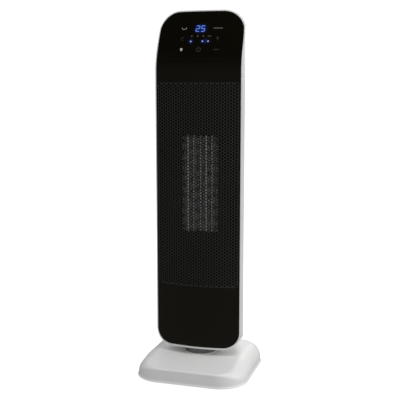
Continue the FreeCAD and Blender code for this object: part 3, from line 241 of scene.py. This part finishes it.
def dress_nodes():
    """Gives every carried-over node the finish of its slot."""
    for entry in SUBPARTS:
        node = NODES[entry["node"]]
        node.data.materials.clear()
        node.data.materials.append(MATERIALS[OWN_LOOK.get(entry["node"], entry["material_slot"])])


# ---------------------------------------------------------------------- shape of the front

FRONT_Y = -32.0             # the middle of the front, below the lean
BOW_RADIUS = 217.0          # the front is bowed across
LEAN_Z = 538.0              # height of the bend
LEAN = math.radians(23)     # the top leans back
LEAN_RADIUS = 100.0         # rounding of the bend
BEND_LOW = LEAN_Z - LEAN_RADIUS * math.tan(LEAN / 2)
BEND_HIGH = BEND_LOW + LEAN_RADIUS * math.sin(LEAN)


def front_depth(x, z):
    """Where the face of the bowed, leaning front is, at a place across and a height (mm)."""
    bow = BOW_RADIUS - math.sqrt(BOW_RADIUS ** 2 - x * x)
    if z < BEND_LOW:
        return FRONT_Y + bow
    rise = min(z, BEND_HIGH) - BEND_LOW
    back = LEAN_RADIUS - math.sqrt(LEAN_RADIUS ** 2 - rise ** 2)
    return FRONT_Y + bow + back + max(z - BEND_HIGH, 0) * math.tan(LEAN)


def piece(name, points, faces, slot_name, body):
    """One visible piece from points in mm, riding on a body."""
    mesh = bpy.data.meshes.new(name)
    mesh.from_pydata([(x * MM, y * MM, z * MM) for x, y, z in points], [], faces)
    mesh.validate()
    solid = bmesh.new()
    solid.from_mesh(mesh)
    bmesh.ops.recalc_face_normals(solid, faces=solid.faces)
    solid.to_mesh(mesh)
    solid.free()
    mesh.materials.append(MATERIALS[slot_name])
    made = bpy.data.objects.new(name, mesh)
    bpy.context.scene.collection.objects.link(made)
    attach(made, body)
    return made


# ------------------------------------------------------------------------------ air outlet

HOLE = 1.95                 # radius of the round holes
HOLE_SIDES = 12
COLUMN, ROW = 4.5, 5.25     # pitch across and up; every second column is half a row higher
COLUMNS, ROWS = 31, 66
MESH_HALF, MESH_LOW, MESH_HIGH = 71.65, 153.75, 501.85
MESH_NEAR, MESH_FAR = 0.9, 1.7    # depth of its two faces behind the face of the front


class FlatSheet:
    """Flat faces that share their corners."""

    def __init__(self):
        self.index = {}
        self.points = []
        self.faces = []

    def spot(self, x, z):
        """Number of the corner at a place; a new corner if there is none yet."""
        key = (round(x, 3), round(z, 3))
        if key not in self.index:
            self.index[key] = len(self.points)
            self.points.append((x, z))
        return self.index[key]

    def face(self, *corners):
        self.faces.append(tuple(self.spot(x, z) for x, z in corners))


def polygon(x, z, radius, sides):
    """Corners of a regular polygon."""
    return [(x + radius * math.cos(math.tau * k / sides), z + radius * math.sin(math.tau * k / sides))
            for k in range(sides)]


def bearing(corners, index):
    """Direction of a corner seen from the middle of its cell; a full turn past the last corner."""
    if index >= len(corners):
        return math.tau
    return math.atan2(corners[index][1], corners[index][0]) % math.tau


def ring(sheet, x, z):
    """A mesh cell: the rectangle round one hole, joined at its corners and side middles."""
    across, up = COLUMN / 2, ROW / 2
    outer = [(across, 0), (across, up), (0, up), (-across, up)]
    outer += [(-across, 0), (-across, -up), (0, -up), (across, -up)]
    inner = polygon(0, 0, HOLE, HOLE_SIDES)
    i = o = 0
    while i < HOLE_SIDES or o < len(outer):
        next_in, next_out = bearing(inner, i + 1), bearing(outer, o + 1)
        here_in, here_out = inner[i % HOLE_SIDES], outer[o % len(outer)]
        if o < len(outer) and (i >= HOLE_SIDES or next_out <= next_in):
            o += 1
            third = outer[o % len(outer)]
        else:
            i += 1
            third = inner[i % HOLE_SIDES]
        sheet.face(*[(x + a, z + b) for a, b in (here_in, here_out, third)])


def thicken(sheet, near, far):
    """Both faces of the bowed sheet and the walls round every hole and edge."""
    count = len(sheet.points)
    points = [(x, front_depth(x, z) + near, z) for x, z in sheet.points]
    points += [(x, front_depth(x, z) + far, z) for x, z in sheet.points]
    faces = list(sheet.faces) + [tuple(corner + count for corner in reversed(face)) for face in sheet.faces]
    used = {}
    for face in sheet.faces:
        for start, end in zip(face, face[1:] + face[:1]):
            used[(start, end)] = used.get((start, end), 0) + 1
    for start, end in used:
        if (end, start) not in used:
            faces.append((end, start, start + count, end + count))
    return points, faces


def outlet_mesh():
    """The perforated steel sheet over the air window."""
    sheet = FlatSheet()
    middle = (MESH_LOW + MESH_HIGH) / 2
    low = middle - ROWS * ROW / 2
    high = middle + ROWS * ROW / 2
    edge = COLUMNS * COLUMN / 2
    for column in range(COLUMNS):
        x = (column - (COLUMNS - 1) / 2) * COLUMN
        left, right = x - COLUMN / 2, x + COLUMN / 2
        shifted = column % 2 == 1
        start = low + (ROW / 2 if shifted else 0)
        for row in range(ROWS - (1 if shifted else 0)):
            ring(sheet, x, start + (row + 0.5) * ROW)
        if shifted:
            for bottom, top in ((low, low + ROW / 2), (high - ROW / 2, high)):
                cell = [(left, bottom), (x, bottom), (right, bottom), (right, top), (x, top), (left, top)]
                sheet.face(*cell)
        rim = [(left, MESH_LOW), (x, MESH_LOW), (right, MESH_LOW), (right, low), (x, low), (left, low)]
        sheet.face(*rim)
        rim = [(left, high), (x, high), (right, high), (right, MESH_HIGH), (x, MESH_HIGH), (left, MESH_HIGH)]
        sheet.face(*rim)
    for inner, outer in ((edge, MESH_HALF), (-edge, -MESH_HALF)):
        a, b = (inner, outer) if inner > 0 else (outer, inner)
        for step in range(2 * ROWS):
            z0, z1 = low + step * ROW / 2, low + (step + 1) * ROW / 2
            sheet.face((a, z0), (b, z0), (b, z1), (a, z1))
        sheet.face((a, MESH_LOW), (b, MESH_LOW), (b, low), (a, low))
        sheet.face((a, high), (b, high), (b, MESH_HIGH), (a, MESH_HIGH))
    points, faces = thicken(sheet, MESH_NEAR, MESH_FAR)
    made = piece("outlet_mesh", points, faces, "mesh", "tower")
    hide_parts("outlet_grille")


# --------------------------------------------------------------------------- touch display

LIFT, SINK = 0.22, 0.05     # how far a mark stands out of the touch panel, and reaches into it
CAP_STEPS = 5


def ribbon(line, width):
    """Outline of a stroke along a line of (x, z) points, with round ends."""
    half = width / 2
    spots = [Vector(point) for point in line]
    ways = [(b - a).normalized() for a, b in zip(spots, spots[1:])]
    left, right = [], []
    for index, spot in enumerate(spots):
        before = ways[max(index - 1, 0)]
        after = ways[min(index, len(ways) - 1)]
        across = Vector((-(before.y + after.y), before.x + after.x)).normalized()
        reach = half / max(across.dot(Vector((-after.y, after.x))), 0.5)
        left.append(spot + across * reach)
        right.append(spot - across * reach)
    far = round_end(spots[-1], ways[-1], half, math.pi / 2)
    near = round_end(spots[0], ways[0], half, -math.pi / 2)
    return left + far + right[::-1] + near


def round_end(spot, way, half, first):
    """Points of the half circle that closes one end of a stroke."""
    points = []
    for step in range(1, CAP_STEPS):
        angle = math.atan2(way.y, way.x) + first - math.pi * step / CAP_STEPS
        points.append(spot + Vector((math.cos(angle), math.sin(angle))) * half)
    return points


def disc(x, z, radius, sides=20):
    """Outline of a round spot."""
    return [Vector(corner) for corner in polygon(x, z, radius, sides)]


def printed(name, outlines, slot_name):
    """Thin raised marks on the face of the touch panel, one for each outline."""
    points, faces = [], []
    for outline in outlines:
        first, count = len(points), len(outline)
        points += [(p.x, front_depth(p.x, p.y) - LIFT, p.y) for p in outline]
        points += [(p.x, front_depth(p.x, p.y) + SINK, p.y) for p in outline]
        faces.append(tuple(range(first, first + count)))
        faces.append(tuple(range(first + 2 * count - 1, first + count - 1, -1)))
        for k in range(count):
            n = (k + 1) % count
            faces.append((first + n, first + k, first + count + k, first + count + n))
    piece(name, points, faces, slot_name, "tower")


def arc(x, z, radius, start, end, steps=12):
    """Points along an arc between two angles in degrees."""
    turns = [math.radians(start + (end - start) * k / steps) for k in range(steps + 1)]
    return [(x + radius * math.cos(turn), z + radius * math.sin(turn)) for turn in turns]


DIGIT_LOW, DIGIT_TALL, DIGIT_WIDE, DIGIT_BAR = 585.9, 9.3, 5.7, 1.3
SLANT = 0.07


def slanted(point, mid):
    """A point of a digit, moved aside in proportion to its height."""
    return (point[0] + (point[1] - mid) * SLANT, point[1])


def digit(left, lit_bars):
    """Strokes of one seven-segment digit, slightly slanted."""
    low, mid, high = DIGIT_LOW, DIGIT_LOW + DIGIT_TALL / 2, DIGIT_LOW + DIGIT_TALL
    right, gap = left + DIGIT_WIDE, 0.75
    bars = {
        "a": ((left + gap, high), (right - gap, high)), "d": ((left + gap, low), (right - gap, low)),
        "g": ((left + gap, mid), (right - gap, mid)), "f": ((left, mid + gap), (left, high - gap)),
        "b": ((right, mid + gap), (right, high - gap)), "e": ((left, low + gap), (left, mid - gap)),
        "c": ((right, low + gap), (right, mid - gap)),
    }
    return [ribbon([slanted(end, mid) for end in bars[key]], DIGIT_BAR) for key in lit_bars]


LEFT_KEYS, RIGHT_KEYS = -28.0, 32.6    # middles of the two outer columns of keys
LAMP_ROW, MODE_ROW = 569.3, 578.0       # heights of the lamps and of the marks over them


def swing_mark():
    """A thin arc with turned-up ends, for the sweep from side to side."""
    ends = [[(-31.2, 592.9), (-31.0, 591.4)], [(-23.2, 592.9), (-23.4, 591.4)]]
    return [ribbon(line, 0.5) for line in [arc(-27.2, 594.6, 5.0, 225, 315)] + ends]


def timer_mark():
    """A small filled shield, narrow below."""
    corners = [(0, -4.2), (-3.4, 0.8), (-2.4, 3.6), (0, 2.8), (2.4, 3.6), (3.4, 0.8)]
    return [Vector((LEFT_KEYS + x * 0.72, 555.8 + z * 0.72)) for x, z in corners]


def mode_marks():
    """The row of small marks over the lamps, and the long bar beside the digits."""
    square = [Vector(corner) for corner in ((-13.0, 577.1), (-10.8, 577.1), (-10.8, 579.2), (-13.0, 579.2))]
    dash = ribbon([(16.2, 577.9), (21.4, 577.5)], 0.9)
    bar = ribbon([(24.6, 591.0), (38.8, 591.0)], 1.5)
    return [disc(-1.5, MODE_ROW + 0.1, 1.15), disc(8.2, MODE_ROW, 1.15), square, dash, bar]


def faint_marks():
    """Marks of the keys that aren't in use: an arrow, a dash, on and off, and a moon."""
    x = RIGHT_KEYS
    shaft = ribbon([(x, 570.8), (x, 576.0)], 0.8)
    head = ribbon([(x - 1.4, 573.9), (x, 576.2), (x + 1.4, 573.9)], 0.8)
    dash = ribbon([(28.6, 555.3), (36.2, 555.3)], 1.0)
    on_off = [ribbon(arc(2.6, 555.6, 3.4, 125, 415), 0.8), ribbon([(2.6, 556.6), (2.6, 560.4)], 0.8)]
    moon = ribbon(arc(LEFT_KEYS, 573.9, 2.4, 40, 320), 0.6)
    return [shaft, head, dash] + on_off + [moon]


def touch_display():
    """Lit digits and lamps, and the white symbols of the touch keys."""
    printed("lit_digits", digit(-5.6, "abged") + digit(3.6, "afgcd"), "digit_light")
    printed("lit_lamps", [disc(x, LAMP_ROW, 1.35) for x in (-12.6, 7.8, 17.4)], "lamp_light")
    printed("bright_symbols", swing_mark() + [timer_mark()], "panel_print")
    printed("mode_symbols", mode_marks(), "panel_print_dim")
    printed("key_symbols", faint_marks(), "panel_print_faint")


# ---------------------------------------------------------------------- carried-over nodes

CRISP_ANGLE = math.radians(24)
WELD_GAP = 0.000002         # in metres


def soften():
    """Smooth shading on the carried-over solids: edges sharper than the angle stay crisp."""
    for node in NODES.values():
        if node.type != "MESH":
            continue
        weld = node.modifiers.new("weld", "WELD")
        weld.merge_threshold = WELD_GAP
        node.data.shade_smooth()
        crisp = node.modifiers.new("crisp", "EDGE_SPLIT")
        crisp.split_angle = CRISP_ANGLE
        crisp.use_edge_sharp = False


dress_nodes()
soften()
outlet_mesh()
touch_display()

# ------------------------------------------------------------------- stage, light, camera

FLOOR_SIZE = 24.0
FILL, SHOWN = 0.435, 1.05    # strength of the world on surfaces, and as it is seen
# name, place, aim, size and power of the soft lights
PANELS = (
    ("right", (2.4, 0.1, 0.9), (0, 0, 0.35), (1.4, 2.0), 23),
    ("left", (-2.4, 0.3, 0.9), (0, 0, 0.3), (1.2, 2.0), 1.5),
    ("back", (-0.2, 2.4, 1.3), (0, 0, 0.3), (1.6, 1.6), 12),
    ("low_front", (1.5, -2.6, 0.5), (0, 0, 0.05), (1.2, 0.5), 4),
)


def studio_floor():
    """A plain pale floor that polished faces don't mirror."""
    look = Graph("studio_floor")
    look.feed("Base Color", look.tint(look.noise(3.0), (0.9, 0.9, 0.9), (0.93, 0.93, 0.93)))
    look.set(Roughness=0.9, Emission_Color=(1, 1, 1, 1), Emission_Strength=0.5)
    half = FLOOR_SIZE / 2
    mesh = bpy.data.meshes.new("studio_floor")
    corners = [(-half, -half, 0), (half, -half, 0), (half, half, 0), (-half, half, 0)]
    mesh.from_pydata(corners, [], [(0, 1, 2, 3)])
    mesh.materials.append(look.material)
    floor = bpy.data.objects.new("studio_floor", mesh)
    bpy.context.scene.collection.objects.link(floor)
    floor.visible_glossy = False
    floor.visible_diffuse = False


def studio_world():
    """White to the eye, a soft fill on the shell and a dim gradient in polished black."""
    world = bpy.data.worlds.new("studio")
    bpy.context.scene.world = world
    world.use_nodes = True
    nodes, links = world.node_tree.nodes, world.node_tree.links
    background = nodes["Background"]
    background.inputs["Color"].default_value = (1, 1, 1, 1)
    way = nodes.new("ShaderNodeSeparateXYZ")
    links.new(nodes.new("ShaderNodeTexCoord").outputs["Generated"], way.inputs["Vector"])
    # what polished black mirrors grows dimmer from just below the horizon upwards
    dim = nodes.new("ShaderNodeMapRange")
    for level, value in (("From Min", -0.2), ("From Max", 0.6), ("To Min", 0.13), ("To Max", 0.02)):
        dim.inputs[level].default_value = value
    links.new(way.outputs["Z"], dim.inputs["Value"])
    path = nodes.new("ShaderNodeLightPath")
    fill = nodes.new("ShaderNodeMix")
    fill.inputs["A"].default_value = FILL
    links.new(path.outputs["Is Glossy Ray"], fill.inputs["Factor"])
    links.new(dim.outputs["Result"], fill.inputs["B"])
    shown = nodes.new("ShaderNodeMix")
    shown.inputs["B"].default_value = SHOWN
    links.new(path.outputs["Is Camera Ray"], shown.inputs["Factor"])
    links.new(fill.outputs["Result"], shown.inputs["A"])
    links.new(shown.outputs["Result"], background.inputs["Strength"])


def studio_lights():
    """A wide overhead light and four soft panels."""
    sky = bpy.data.lights.new("overhead", "SUN")
    sky.energy = 0.86
    sky.angle = math.radians(35)
    above = bpy.data.objects.new("overhead", sky)
    above.rotation_euler = (math.radians(8), math.radians(10), 0)
    bpy.context.scene.collection.objects.link(above)
    for name, spot, aim, size, power in PANELS:
        lamp = bpy.data.lights.new(name, "AREA")
        lamp.shape = "RECTANGLE"
        lamp.size, lamp.size_y = size
        lamp.energy = power
        light = bpy.data.objects.new(name, lamp)
        light.visible_glossy = name != "low_front"
        light.location = spot
        light.rotation_euler = (Vector(aim) - Vector(spot)).to_track_quat("-Z", "Y").to_euler()
        bpy.context.scene.collection.objects.link(light)


def studio_camera():
    """In front, a little above the middle and to the heater's left, looking slightly down."""
    lens = bpy.data.cameras.new("camera")
    lens.lens = 70.4
    camera = bpy.data.objects.new("camera", lens)
    camera.location = (0.3905, -1.2828, 0.4949)
    camera.rotation_euler = (math.pi / 2 - 0.144, 0, 0.297)
    bpy.context.scene.collection.objects.link(camera)
    bpy.context.scene.camera = camera
    bpy.context.scene.view_settings.view_transform = "Standard"


studio_floor()
studio_world()
studio_lights()
studio_camera()
